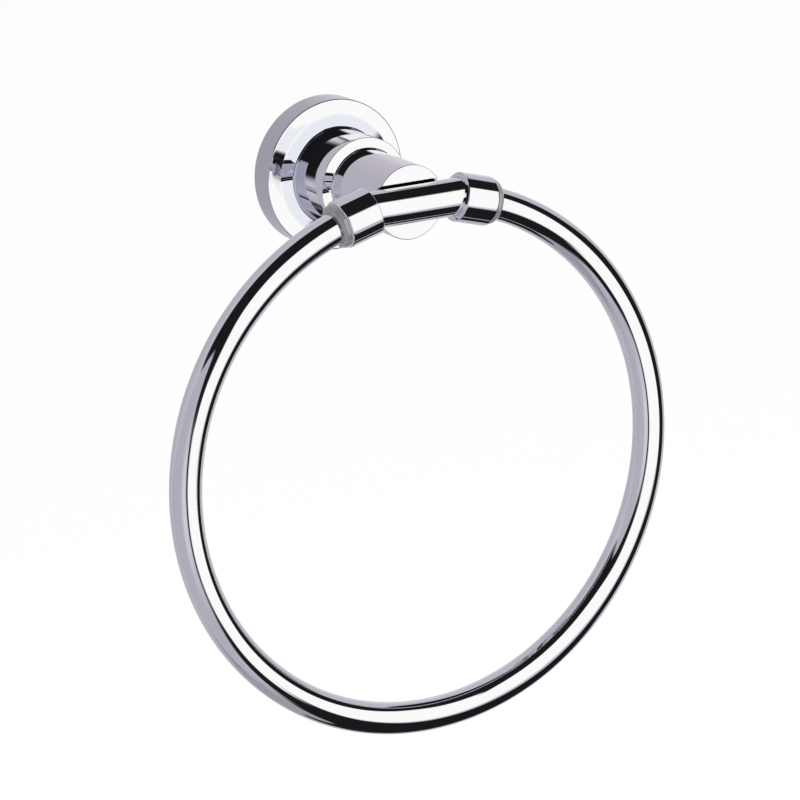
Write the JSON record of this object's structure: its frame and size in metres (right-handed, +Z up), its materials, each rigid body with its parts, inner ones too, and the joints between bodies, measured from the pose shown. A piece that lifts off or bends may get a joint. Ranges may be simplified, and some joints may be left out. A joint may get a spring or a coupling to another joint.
{
  "type": "towel ring",
  "caption": "Chrome towel ring: a round wall flange with a stepped post carries a ring of round tube on a short crossbar, held by sleeves with plastic bushes.",
  "frame": {"origin": "on the wall, at the centre of the flange's back", "axes": "+Z up, +Y into the wall, +X to the right as seen from the front, so the post and the ring stand out along -Y"},
  "size_m": [0.1824, 0.0684, 0.2011],
  "materials": {
    "chrome_casting": "polished chrome plate on a casting",
    "chrome_bar": "polished chrome plate on turned bar",
    "chrome_tube": "polished chrome plate on bent tube",
    "bush_plastic": "milky, slightly translucent moulded plastic",
    "plated_steel": "zinc plated, dull",
    "screw_steel": "plain bright steel"
  },
  "bodies": {
    "root": {"bracket": "chrome_casting", "crossbar": "chrome_bar", "sleeve_left": "chrome_bar", "sleeve_right": "chrome_bar", "bush_left": "bush_plastic", "bush_right": "bush_plastic", "ring": "chrome_tube", "wall_plate": "plated_steel", "grub_screw": "screw_steel", "crossbar_screw": "screw_steel"}
  },
  "joints": []
}
